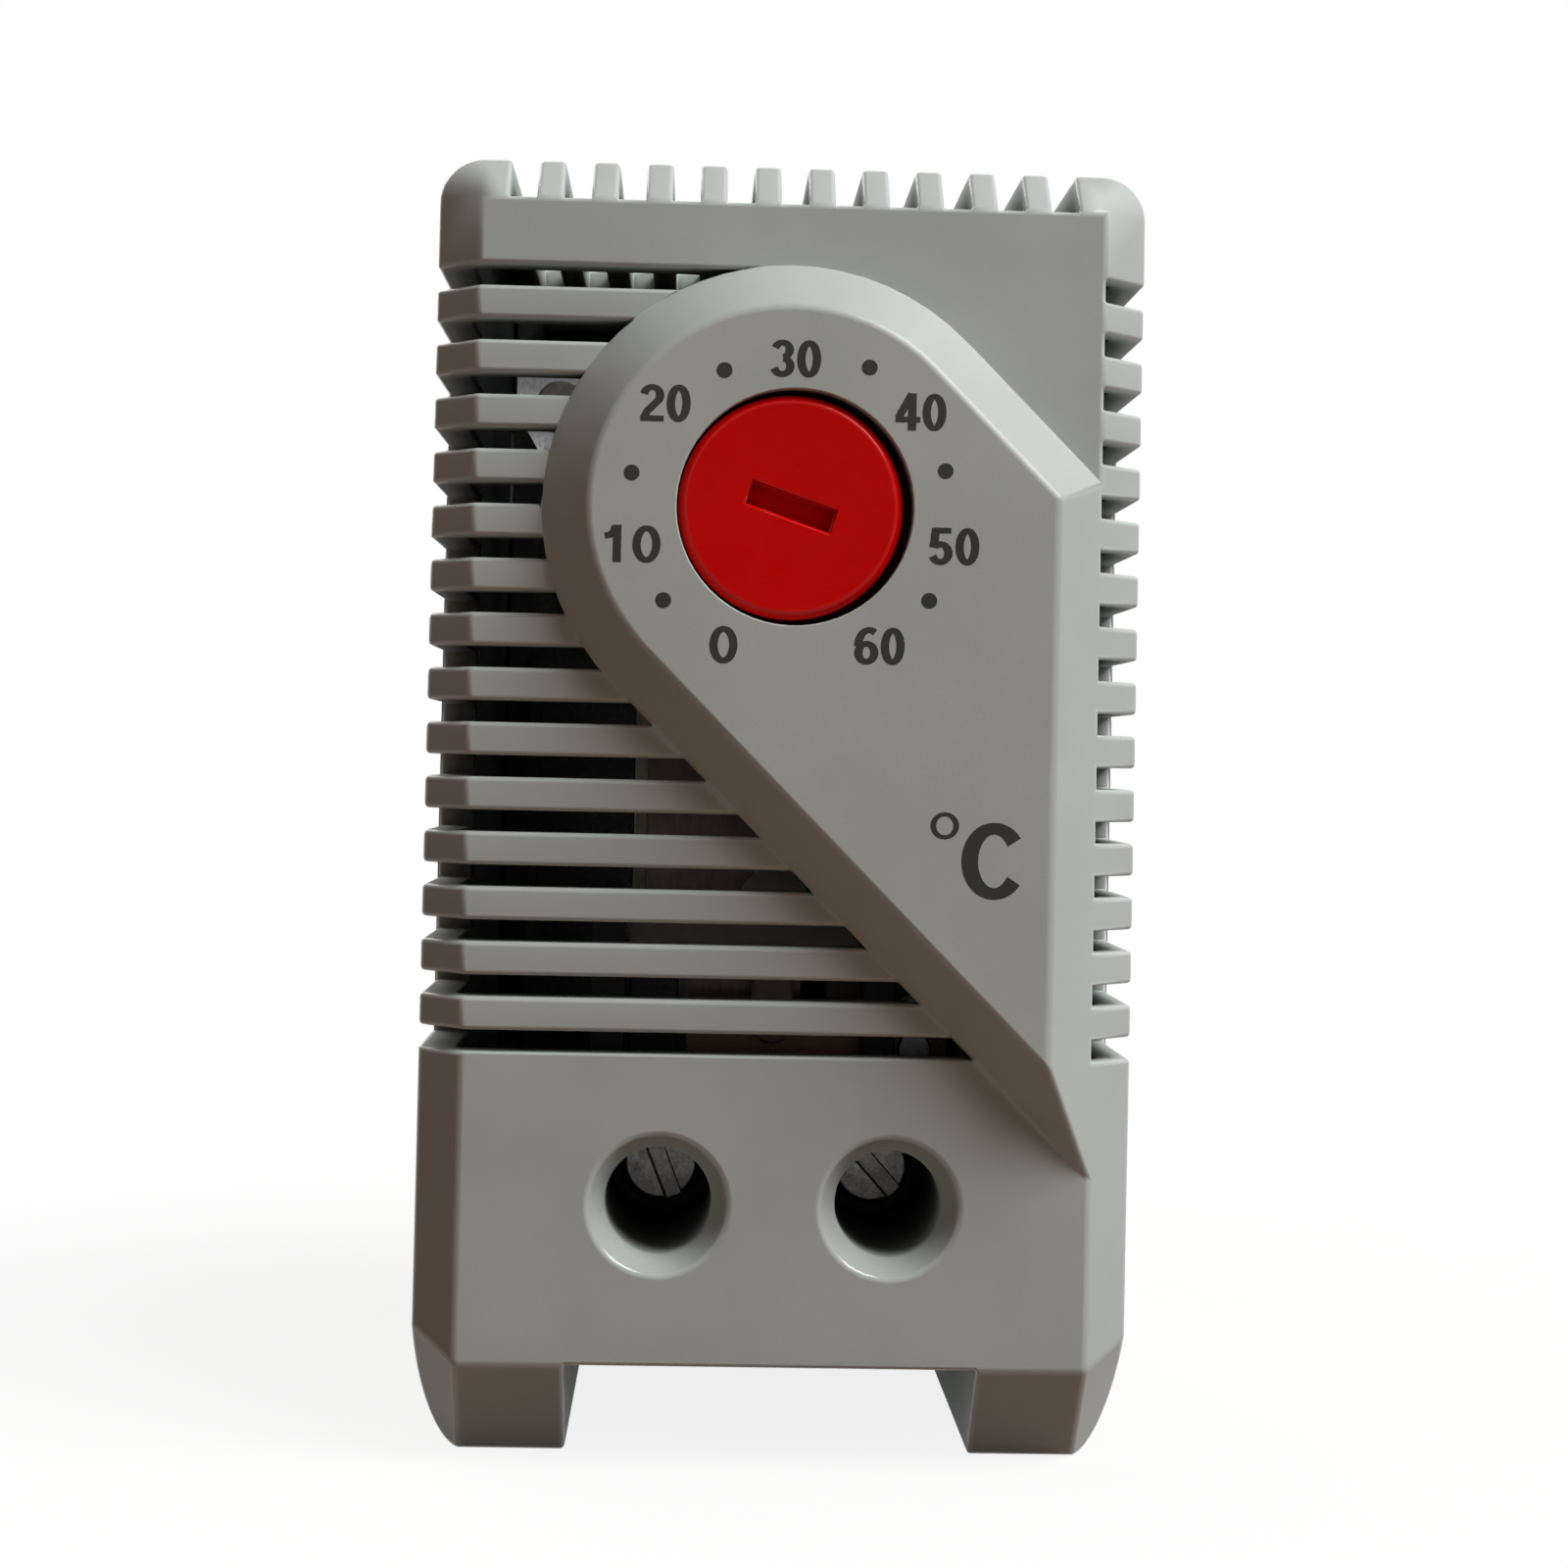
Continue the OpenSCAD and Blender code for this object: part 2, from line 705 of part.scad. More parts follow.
// Bearing ear of the setting lever
module lever_ear(x0) {
    block([x0, lever_y - ear_half_d, floor_low_z],
        [x0 + ear_t, lever_y + ear_half_d, lever_z + ear_half_d]);
}

module inner_frame() {
    ear_left_x = lever_left_x - ear_gap - ear_t;
    ear_right_x = lever_right_x + ear_gap;
    color("dimgray") difference() {
        union() {
            block([frame_plate_x, plate_front_y, frame_plate_low_z],
                [web_x + web_t, plate_back_y, frame_top_z]);
            difference() {
                block([web_x, plate_front_y, floor_low_z], [web_x + web_t, frame_back_y, frame_top_z]);
                block([web_x - overrun, plate_back_y + web_window_rim, spring_z + spring_pad],
                    [web_x + web_t + overrun, frame_back_y - web_window_rim, frame_top_z - web_window_rim]);
            }
            block([-frame_half_w, plate_front_y, floor_low_z], [frame_half_w, frame_back_y, floor_top_z]);
            block([-carrier_half_w, carrier_front_y, frame_low_z],
                [carrier_half_w, carrier_back_y, floor_top_z]);
            lever_ear(ear_left_x);
            lever_ear(ear_right_x);
            block([spring_x - spring_pad / 2, seat_y, spring_z - spring_pad / 2],
                [web_x + web_t, seat_y + seat_t, spring_z + spring_pad / 2]);
            bar_y(peg_r, seat_y - peg_l, seat_y + seat_t, spring_x, spring_z);
            block([magnet_x, magnet_front_y, floor_low_z], [magnet_x + magnet_w, magnet_back_y, magnet_z]);
            translate([0, 0, dial_z]) along_y(plate_back_y - overrun, cam_disc_y)
                sector(stop_in_r, stop_out_r, -stop_turn / 2, stop_turn / 2);
        }
        bar_y(journal_r + shaft_gap, plate_front_y - overrun, plate_back_y + overrun, 0, dial_z);
        translate([ear_left_x - overrun, lever_y, lever_z]) rotate([0, 90, 0])
            cylinder(r = pivot_r + shaft_gap, h = ear_right_x + ear_t - ear_left_x + 2 * overrun);
        for (s = [-1, 1]) {
            bar_y(screw_r + shaft_gap, carrier_front_y - overrun, carrier_back_y + overrun,
                s * term_x, term_z);
            block([s * term_x - bar_w / 2 - touch_gap, bar_front_y - touch_gap, floor_low_z - overrun],
                [s * term_x + bar_w / 2 + touch_gap, bar_back_y + touch_gap, floor_top_z + overrun]);
        }
    }
}

module dial_knob() {
    color("red") difference() {
        union() {
            bar_y(knob_r, knob_face_y + knob_edge, flange_front_y, 0, dial_z);
            bar_y(knob_r, knob_face_y, knob_face_y + knob_edge, 0, dial_z, knob_r - knob_edge);
            bar_y(knob_flange_r, flange_front_y, flange_back_y, 0, dial_z);
            bar_y(journal_r, flange_back_y, cam_front_y, 0, dial_z);
            intersection() {
                bar_y(stub_r, cam_front_y, cam_front_y + stub_l, 0, dial_z);
                block([-stub_r, cam_front_y, dial_z - stub_r],
                    [stub_r, cam_front_y + stub_l, dial_z + stub_flat]);
            }
        }
        translate([0, 0, dial_z]) rotate([0, knob_tilt, 0])
            block([-knob_slot_l / 2, knob_face_y - overrun, -knob_slot_w / 2],
                [knob_slot_l / 2, knob_face_y + knob_slot_d, knob_slot_w / 2]);
    }
}

// Spiral face of the cam: height grows clockwise from its low end
module cam_ramp() {
    turn0 = ramp_low_turn - ramp_margin;
    turn1 = ramp_low_turn + dial_span + ramp_margin;
    slope = cam_rise / dial_span;
    root = cam_disc_y - cam_t / 2;
    ring = [for (i = [0:ramp_steps])
        let (t = turn0 + (turn1 - turn0) * i / ramp_steps,
            y = cam_disc_y + ramp_base_h + (t - ramp_low_turn) * slope,
            a = turn_point(ramp_in_r, t), b = turn_point(ramp_out_r, t))
        each [[a[0], root, a[1]], [b[0], root, b[1]], [b[0], y, b[1]], [a[0], y, a[1]]]];
    last = 4 * ramp_steps;
    walls = [for (i = [0:ramp_steps - 1]) for (k = [0:3]) let (a = 4 * i + k, b = 4 * i + (k + 1) % 4)
        each [[a, b, a + 4], [b, b + 4, a + 4]]];
    ends = [[0, 2, 3], [0, 1, 2], [last, last + 2, last + 1], [last, last + 3, last + 2]];
    translate([0, 0, dial_z]) polyhedron(ring, concat(walls, ends));
}

module dial_cam() {
    color("whitesmoke") difference() {
        union() {
            bar_y(cam_r, cam_front_y, cam_disc_y, 0, dial_z);
            cam_ramp();
            translate([0, 0, dial_z]) along_y(cam_front_y, cam_disc_y)
                sector(cam_r - overrun, lug_r, lug_rest_turn - lug_turn / 2, lug_rest_turn + lug_turn / 2);
        }
        difference() {
            bar_y(stub_r + shaft_gap, cam_front_y - overrun, cam_disc_y + overrun, 0, dial_z);
            block([-cam_r, cam_front_y - 2 * overrun, dial_z + stub_flat + shaft_gap],
                [cam_r, cam_disc_y + 2 * overrun, dial_z + cam_r]);
        }
    }
}

module setting_lever() {
    half_t = lever_t / 2;
    color("lightgray") union() {
        block([lever_left_x, lever_front_y, lever_z - half_t],
            [lever_right_x, lever_back_y, lever_z + half_t]);
        translate([lever_left_x - ear_gap - ear_t, lever_y, lever_z]) rotate([0, 90, 0])
            cylinder(r = pivot_r, h = lever_right_x - lever_left_x + 2 * (ear_gap + ear_t));
        bar_y(boss_r, lever_front_y, lever_back_y, 0, boss_z);
        block([-arm_half_w, lever_front_y, tip_z], [arm_half_w, lever_back_y, arm_top_z]);
        bar_y(tip_r, lever_front_y, lever_back_y, 0, tip_z);
        block([-arm_half_w, lever_front_y, spring_z - spring_pad / 2],
            [spring_x + spring_pad / 2, lever_back_y, spring_z + spring_pad / 2]);
        bar_y(peg_r, lever_back_y - half_t, lever_back_y + peg_l, spring_x, spring_z);
        bar_y(nose_r, nose_y + nose_tip_l, lever_y, 0, nose_z);
        bar_y(nose_r, nose_y, nose_y + nose_tip_l, 0, nose_z, nose_tip_r);
        bar_y(nub_r, lever_y, nub_back_y, 0, leaf_z);
    }
}

module contact_leaf() {
    color("peru") difference() {
        block([leaf_left_x, leaf_front_y, leaf_z - leaf_h / 2],
            [leaf_right_x, leaf_back_y, leaf_z + leaf_h / 2]);
        for (s = [-1, 1])
            bar_y(rivet_hole_r, leaf_front_y - overrun, leaf_back_y + overrun, leaf_rivet_x,
                leaf_z + s * leaf_rivet_step / 2);
    }
}

// Round contact with a chamfered face that points along Y
module contact_button(y0, y1, face_back) {
    mid = face_back ? y1 - contact_edge : y0 + contact_edge;
    small = contact_r - contact_edge;
    bar_y(contact_r, face_back ? y0 : mid, face_back ? mid : y1, contact_x, leaf_z);
    if (face_back) bar_y(small, mid, y1, contact_x, leaf_z, contact_r);
    else bar_y(contact_r, y0, mid, contact_x, leaf_z, small);
}

module fixed_contact() {
    color("silver") contact_button(leaf_back_y, leaf_back_y + contact_t, true);
}

module moving_contact() {
    color("silver") contact_button(strip_front_y - contact_t, strip_front_y, false);
}

// Rivet along Y with a flat head at each end
module rivet(x, z, y0, y1) {
    bar_y(rivet_r, y0 - rivet_head_h, y1 + rivet_head_h, x, z);
    bar_y(rivet_head_r, y0 - rivet_head_h, y0, x, z);
    bar_y(rivet_head_r, y1, y1 + rivet_head_h, x, z);
}

module leaf_rivets() {
    color("silver") for (s = [-1, 1])
        rivet(leaf_rivet_x, leaf_z + s * leaf_rivet_step / 2, leaf_front_y - touch_gap,
            leaf_back_y + root_gap + bar_t);
}

module bimetal_strip() {
    color("rosybrown") difference() {
        block([strip_x0, strip_front_y, strip_low_z], [strip_x1, strip_back_y, strip_top_z]);
        for (s = [-1, 1])
            bar_y(rivet_hole_r, strip_front_y - overrun, strip_back_y + overrun,
                strip_x0 + strip_w / 2 + s * strip_rivet_step / 2, strip_rivet_z);
    }
}

module bimetal_rivets() {
    color("silver") for (s = [-1, 1])
        rivet(strip_x0 + strip_w / 2 + s * strip_rivet_step / 2, strip_rivet_z, strip_front_y - touch_gap,
            bracket_back_y);
}

module armature() {
    color("slategray")
        block([magnet_x, strip_front_y - armature_t, magnet_z],
            [magnet_x + magnet_w, strip_front_y, magnet_z + magnet_h]);
}

module snap_magnet() {
    color("dimgray")
        block([magnet_x, magnet_front_y, magnet_z],
            [magnet_x + magnet_w, magnet_back_y, magnet_z + magnet_h]);
}

module bimetal_bracket() {
    step_z = bend_z + shaft_gap;
    color("silver") difference() {
        along_y(bracket_y, bracket_back_y)
            polygon([
                [bracket_x0 + bracket_lean, bracket_low_z],
                [bracket_x0 + bracket_lean + bracket_foot_w, bracket_low_z],
                [strip_x0 - free_gap, step_z],
                [bracket_x1, step_z],
                [bracket_x1, bracket_top_z],
                [bracket_x0, bracket_top_z],
                [bracket_x0, bracket_low_z + bracket_foot_w]]);
        bar_y(trim_r + shaft_gap, bracket_y - overrun, bracket_back_y + overrun, trim_x, trim_z);
        for (s = [-1, 1])
            bar_y(rivet_r + shaft_gap, bracket_y - overrun, bracket_back_y + overrun,
                strip_x0 + strip_w / 2 + s * strip_rivet_step / 2, strip_rivet_z);
    }
}

module calibration_screw() {
    color("silver") difference() {
        union() {
            bar_y(trim_head_r, bracket_y - trim_head_h, bracket_y, trim_x, trim_z);
            bar_y(trim_r, bracket_y, bracket_back_y + trim_l, trim_x, trim_z);
        }
        block([trim_x - trim_head_r, bracket_y - trim_head_h - overrun, trim_z - head_edge],
            [trim_x + trim_head_r, bracket_y - trim_head_h / 2, trim_z + head_edge]);
    }
}

// Bar of a terminal, from below its clamp up through the frame's floor
module terminal_bar(x, top_z) {
    block([x - bar_w / 2, bar_front_y, bar_low_z], [x + bar_w / 2, bar_back_y, top_z]);
}

module busbar_left() {
    color("goldenrod") union() {
        terminal_bar(-term_x, bracket_top_z);
        block([-term_x - bar_w / 2, bracket_back_y, bracket_top_z - bar_t],
            [-term_x + bar_w / 2, bar_back_y, bracket_top_z]);
    }
}

module busbar_right() {
    low = leaf_z - leaf_h / 2;
    high = leaf_z + leaf_h / 2;
    side_x = leaf_right_x - bar_t;
    foot_y = leaf_back_y + root_gap;
    color("goldenrod") difference() {
        union() {
            terminal_bar(term_x, high);
            block([term_x - bar_w / 2, bar_front_y, low], [leaf_right_x, bar_back_y, high]);
            block([side_x, foot_y, low], [leaf_right_x, bar_back_y, high]);
            block([leaf_pivot_x, foot_y, low], [leaf_right_x, foot_y + bar_t, high]);
        }
        for (s = [-1, 1])
            bar_y(rivet_r + shaft_gap, foot_y - overrun, foot_y + bar_t + overrun, leaf_rivet_x,
                leaf_z + s * leaf_rivet_step / 2);
    }
}

module terminal_cage(s) {
    color("lightsteelblue") translate([s * term_x, 0, term_z]) difference() {
        block([-cage_w / 2, cage_front_y, -cage_h / 2], [cage_w / 2, cage_back_y, cage_h / 2]);
        block([-cage_in_w / 2, cage_front_y + cage_front_t, -cage_h / 2 - overrun],
            [cage_in_w / 2, cage_back_y - cage_back_t, cage_h / 2 + overrun]);
        bar_y(screw_r + shaft_gap, cage_front_y - overrun, cage_front_y + cage_front_t + overrun);
    }
}

module terminal_cage_left() { terminal_cage(-1); }
module terminal_cage_right() { terminal_cage(1); }

module terminal_screw(s, lean) {
    color("silver") translate([s * term_x, 0, term_z]) difference() {
        union() {
            bar_y(screw_head_r, head_front_y + head_edge, head_back_y);
            bar_y(screw_head_r, head_front_y, head_front_y + head_edge, 0, 0, screw_head_r - head_edge);
            bar_y(screw_r, head_back_y, screw_tip_y - screw_tip_edge);
            bar_y(screw_r - screw_tip_edge, screw_tip_y - screw_tip_edge, screw_tip_y, 0, 0, screw_r);
        }
        rotate([0, lean, 0])
            block([-head_slot_w / 2, head_front_y - overrun, -screw_head_r - overrun],
                [head_slot_w / 2, head_front_y + head_slot_d, screw_head_r + overrun]);
    }
}

module terminal_screw_left() { terminal_screw(-1, head_lean[0]); }
module terminal_screw_right() { terminal_screw(1, head_lean[1]); }

front_shell();
rear_base();
inner_frame();
dial_knob();
dial_cam();
setting_lever();
lever_spring();
contact_leaf();
fixed_contact();
leaf_rivets();
bimetal_strip();
moving_contact();
armature();
bimetal_bracket();
bimetal_rivets();
calibration_screw();
snap_magnet();
busbar_left();
busbar_right();
terminal_cage_left();
terminal_cage_right();
terminal_screw_left();
terminal_screw_right();
rail_latch();
latch_spring();
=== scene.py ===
"""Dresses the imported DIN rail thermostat: rounded edges, printed scale, materials, light and camera."""

import math

import bmesh
import bpy
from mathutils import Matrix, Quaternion, Vector


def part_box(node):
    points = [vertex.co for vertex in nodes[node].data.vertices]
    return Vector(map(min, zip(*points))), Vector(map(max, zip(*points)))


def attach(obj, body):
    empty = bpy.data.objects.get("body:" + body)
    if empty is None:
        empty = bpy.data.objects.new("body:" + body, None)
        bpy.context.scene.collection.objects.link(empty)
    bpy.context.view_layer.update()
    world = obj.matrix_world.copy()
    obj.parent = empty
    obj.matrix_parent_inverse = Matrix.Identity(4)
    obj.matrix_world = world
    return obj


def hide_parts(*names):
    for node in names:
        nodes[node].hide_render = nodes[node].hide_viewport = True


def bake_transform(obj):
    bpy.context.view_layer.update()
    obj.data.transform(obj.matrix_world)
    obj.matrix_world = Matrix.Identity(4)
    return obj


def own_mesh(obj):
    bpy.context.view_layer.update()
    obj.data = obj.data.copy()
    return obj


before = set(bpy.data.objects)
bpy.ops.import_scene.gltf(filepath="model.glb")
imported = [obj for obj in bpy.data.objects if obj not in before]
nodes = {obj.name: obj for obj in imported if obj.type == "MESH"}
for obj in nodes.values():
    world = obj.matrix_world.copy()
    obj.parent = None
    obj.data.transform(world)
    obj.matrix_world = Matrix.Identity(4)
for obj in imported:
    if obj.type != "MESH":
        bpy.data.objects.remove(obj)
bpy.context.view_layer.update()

MM = 0.001

# Camera: the place, the direction and the focal length that put the housing where the photograph has it
IMAGE_PX = 1600
SENSOR_MM = 36
FOCAL_PX = 2826
AXIS_PX = (811, 706.8)
EYE_MM = (-4.218, -163.324, 2.372)
YAW, PITCH, ROLL = 0.03681, 0.02421, 0.02182
NEAR_M, FAR_M = 0.005, 20


def make_camera():
    data = bpy.data.cameras.new("camera")
    data.sensor_width = SENSOR_MM
    data.lens = FOCAL_PX * SENSOR_MM / IMAGE_PX
    data.shift_x = (IMAGE_PX / 2 - AXIS_PX[0]) / IMAGE_PX
    data.shift_y = (AXIS_PX[1] - IMAGE_PX / 2) / IMAGE_PX
    data.clip_start, data.clip_end = NEAR_M, FAR_M
    camera = bpy.data.objects.new("camera", data)
    bpy.context.scene.collection.objects.link(camera)
    sight = Vector((math.sin(YAW) * math.cos(PITCH), math.cos(YAW) * math.cos(PITCH), math.sin(PITCH)))
    camera.rotation_mode = "QUATERNION"
    camera.rotation_quaternion = sight.to_track_quat("-Z", "Y") @ Quaternion((0, 0, 1), ROLL)
    camera.location = Vector(EYE_MM) * MM
    bpy.context.scene.camera = camera


make_camera()


# Materials

# The grain of the mouldings and the ink, about 0.05 mm wide on the real part, and the lines in the metals,
# about 0.03 mm, are too fine to show and are drawn at least twice as coarse
FLOW_CLOUD_MM = 6
LINE_DEPTH_MM = 0.01
# Painted shade: how far the housing feels what stands round it. The more a spot is shut in, the more colour
# it loses as painted shade, down to the first To Min, and the more roughness it gains, up to the second: 0
# is shut in and 1 is open
RECESS_MM = 40
RECESS_PAINTED_SHADE = {"From Min": 0.05, "From Max": 0.35, "To Min": 0.06, "To Max": 1.0}
RECESS_DULLS = {"From Min": 0.4, "From Max": 0.75, "To Min": 0.4, "To Max": 0.0}


def linear(code):
    """The linear colour of an sRGB hex code."""
    parts = [int(code[i:i + 2], 16) / 255 for i in (1, 3, 5)]
    return tuple(c / 12.92 if c <= 0.04045 else ((c + 0.055) / 1.055) ** 2.4 for c in parts) + (1,)


def add(tree, kind, settings, inputs):
    """A node with its settings, and its inputs by name or number.

    An input is a value, the socket that feeds it, or the node whose first output does."""
    made = tree.nodes.new(kind)
    for name, value in settings.items():
        setattr(made, name, value)
    for key, value in inputs.items():
        if isinstance(value, bpy.types.Node):
            value = value.outputs[0]
        if isinstance(value, bpy.types.NodeSocket):
            tree.links.new(value, made.inputs[key])
        else:
            made.inputs[key].default_value = value
    return made


def per_mm(size):
    """The texture scale that gives features of that size in millimetres."""
    return 1 / (size * MM)


def new_material(name):
    """A material with an empty tree, and its tree."""
    material = bpy.data.materials.new(name)
    material.use_nodes = True
    material.node_tree.nodes.clear()
    return material, material.node_tree


def moulded_plastic(name, dark, light, rough, grain_mm, grain_depth_mm, specular=0.2, ior=1.53, recess_mm=0):
    """An injection moulding: a colour that clouds slightly from flow, and the grain of the tool's steel.

    With recess_mm, slots and wells within that reach are painted darker, as painted shade, and turn dull."""
    material, tree = new_material(name)
    place = add(tree, "ShaderNodeTexCoord", {}, {}).outputs["Object"]
    cloud = add(tree, "ShaderNodeTexNoise", {}, {
        "Vector": place, "Scale": per_mm(FLOW_CLOUD_MM), "Detail": 3.0, "Roughness": 0.55})
    colour = add(tree, "ShaderNodeValToRGB", {}, {"Fac": cloud})
    colour.color_ramp.elements[0].position, colour.color_ramp.elements[0].color = 0.35, linear(dark)
    colour.color_ramp.elements[1].position, colour.color_ramp.elements[1].color = 0.65, linear(light)
    grain = add(tree, "ShaderNodeTexNoise", {}, {
        "Vector": place, "Scale": per_mm(grain_mm), "Detail": 2.0, "Roughness": 0.6})
    roughness = add(tree, "ShaderNodeMapRange", {}, {
        "Value": grain, "From Min": 0.3, "From Max": 0.7, "To Min": rough - 0.05, "To Max": rough + 0.05})
    relief = add(tree, "ShaderNodeBump", {}, {
        "Height": grain, "Strength": 0.35, "Distance": grain_depth_mm * MM})
    if recess_mm:
        # Painted shade: the colour darkens where ambient occlusion finds the spot shut in
        shade = add(tree, "ShaderNodeAmbientOcclusion", {"samples": 8}, {"Distance": recess_mm * MM})
        openness = shade.outputs["AO"]
        kept = add(tree, "ShaderNodeMapRange", {}, {"Value": openness, **RECESS_PAINTED_SHADE})
        colour = add(tree, "ShaderNodeVectorMath", {"operation": "SCALE"}, {0: colour, "Scale": kept})
        dull = add(tree, "ShaderNodeMapRange", {}, {"Value": openness, **RECESS_DULLS})
        roughness = add(tree, "ShaderNodeMath", {"operation": "ADD"}, {0: roughness, 1: dull})
    shader = add(tree, "ShaderNodeBsdfPrincipled", {}, {
        "Base Color": colour, "Roughness": roughness, "Normal": relief,
        "IOR": ior, "Specular IOR Level": specular})
    add(tree, "ShaderNodeOutputMaterial", {}, {"Surface": shader})
    return material


def worked_metal(name, dark, light, rough, line_mm, cloud_mm, stretch=(1, 1, 1), metallic=1.0):
    """A metal with the lines of its rolling, drawing or turning, and clouds of plating or oxide.

    A share under 1 in stretch draws the lines out along that axis."""
    material, tree = new_material(name)
    place = add(tree, "ShaderNodeTexCoord", {}, {}).outputs["Object"]
    drawn = add(tree, "ShaderNodeMapping", {}, {"Vector": place, "Scale": stretch})
    lines = add(tree, "ShaderNodeTexNoise", {}, {
        "Vector": drawn, "Scale": per_mm(line_mm), "Detail": 3.0, "Roughness": 0.6})
    cloud = add(tree, "ShaderNodeTexNoise", {}, {
        "Vector": place, "Scale": per_mm(cloud_mm), "Detail": 4.0, "Roughness": 0.6})
    both = add(tree, "ShaderNodeMix", {"data_type": "FLOAT"}, {0: 0.45, 2: lines, 3: cloud})
    colour = add(tree, "ShaderNodeValToRGB", {}, {"Fac": both})
    colour.color_ramp.elements[0].position, colour.color_ramp.elements[0].color = 0.36, linear(dark)
    colour.color_ramp.elements[1].position, colour.color_ramp.elements[1].color = 0.64, linear(light)
    roughness = add(tree, "ShaderNodeMapRange", {}, {
        "Value": both, "From Min": 0.3, "From Max": 0.7, "To Min": rough + 0.08, "To Max": rough - 0.06})
    relief = add(tree, "ShaderNodeBump", {}, {
        "Height": lines, "Strength": 0.3, "Distance": LINE_DEPTH_MM * MM})
    shader = add(tree, "ShaderNodeBsdfPrincipled", {}, {
        "Base Color": colour, "Roughness": roughness, "Normal": relief, "Metallic": metallic})
    add(tree, "ShaderNodeOutputMaterial", {}, {"Surface": shader})
    return material


# The darker and the lighter colour of the housing and of the knob
GREY = ("#c0ccc9", "#c6d2cf")
RED = ("#e60500", "#ee0601")
# Light grey polyamide from a spark-eroded tool: satin and fine-grained, soft and even on flats, with painted
# shade in its slots and wells
grey_polyamide = moulded_plastic(
    "grey_polyamide", *GREY, rough=0.42, grain_mm=0.16, grain_depth_mm=0.012, recess_mm=RECESS_MM)
# The same polyamide on its rounded edges, burnished by handling: smoother, so that it glints
burnished_polyamide = moulded_plastic(
    "burnished_polyamide", *GREY, rough=0.3, grain_mm=0.16, grain_depth_mm=0.004, specular=0.32,
    recess_mm=RECESS_MM)
# The same polyamide on the lips of the terminal wells, where the tool is polished: each lip catches the lamp
polished_polyamide = moulded_plastic(
    "polished_polyamide", *GREY, rough=0.16, grain_mm=0.16, grain_depth_mm=0.002, specular=0.5,
    recess_mm=RECESS_MM)
# Red polyester from a polished tool: glossy, with a deep even colour, and painted shade that darkens the
# knob's slot
red_polyester = moulded_plastic(
    "red_polyester", *RED, rough=0.24, grain_mm=0.5, grain_depth_mm=0.004, specular=0.08, recess_mm=4)
# The same polyester on the knob's rounded rim: it catches the lamp
burnished_polyester = moulded_plastic(
    "burnished_polyester", *RED, rough=0.18, grain_mm=0.5, grain_depth_mm=0.004, specular=0.16)
# Glass-filled polyamide, moulded in black: satin to dull, with a faint grain from its fibres
black_polyamide = moulded_plastic(
    "black_polyamide", "#1b1b1c", "#242425", rough=0.48, grain_mm=0.2, grain_depth_mm=0.02)
# White acetal, moulded: waxy white with a soft sheen
white_acetal = moulded_plastic(
    "white_acetal", "#d9d7cf", "#e3e1da", rough=0.35, grain_mm=0.3, grain_depth_mm=0.006, ior=1.48)
# Pale grey polyester, moulded: satin, a little cooler and paler than the housing
lever_polyester = moulded_plastic(
    "lever_polyester", "#d6dfe9", "#dee7f1", rough=0.45, grain_mm=0.2, grain_depth_mm=0.012)
# Screen-printed ink: dark warm grey, matt
scale_ink = moulded_plastic(
    "scale_ink", "#35332f", "#3d3b37", rough=0.55, grain_mm=0.12, grain_depth_mm=0.004)
# Spring steel wire, drawn: bright grey with fine lines
spring_wire = worked_metal("spring_wire", "#8e8f91", "#b9babc", rough=0.28, line_mm=0.12, cloud_mm=1.5)
# Phosphor bronze strip, rolled: warm and darkened, with lines along its length
rolled_bronze = worked_metal(
    "rolled_bronze", "#5a4532", "#66503b", rough=0.3, line_mm=0.12, cloud_mm=2.5, stretch=(0.15, 1, 1))
# Fine silver contact, pressed: pale, softly bright
fine_silver = worked_metal("fine_silver", "#d6d4cf", "#efeeea", rough=0.24, line_mm=0.1, cloud_mm=0.8)
# Plated steel rivet, headed: grey, satin
plated_rivet = worked_metal("plated_rivet", "#77777a", "#939396", rough=0.32, line_mm=0.1, cloud_mm=0.6)
# Thermostat metal strip, rolled: brownish from its oxide, with lines along the strip
thermostat_metal = worked_metal(
    "thermostat_metal", "#463c36", "#51463f", rough=0.36, line_mm=0.14, cloud_mm=3, stretch=(1, 1, 0.12))
# Zinc-plated steel, stamped: bright grey with cloudy patches
zinc_steel = worked_metal(
    "zinc_steel", "#a9a9ab", "#dcdcde", rough=0.2, line_mm=0.18, cloud_mm=1.6, stretch=(1, 1, 0.4))
# Zinc-plated screw, turned and rolled: grey and a little dull
zinc_screw = worked_metal("zinc_screw", "#6f6d67", "#98958e", rough=0.38, line_mm=0.14, cloud_mm=0.7)
# Ferrite magnet, sintered: near black, dry and grainy
ferrite = worked_metal("ferrite", "#2b2b2d", "#3b3b3e", rough=0.62, line_mm=0.12, cloud_mm=1.0, metallic=0.2)
# Tinned brass bar, rolled: yellow-grey, with lines along its length
tinned_brass = worked_metal(
    "tinned_brass", "#5d5848", "#6f6a58", rough=0.36, line_mm=0.15, cloud_mm=2.2, stretch=(1, 1, 0.15))

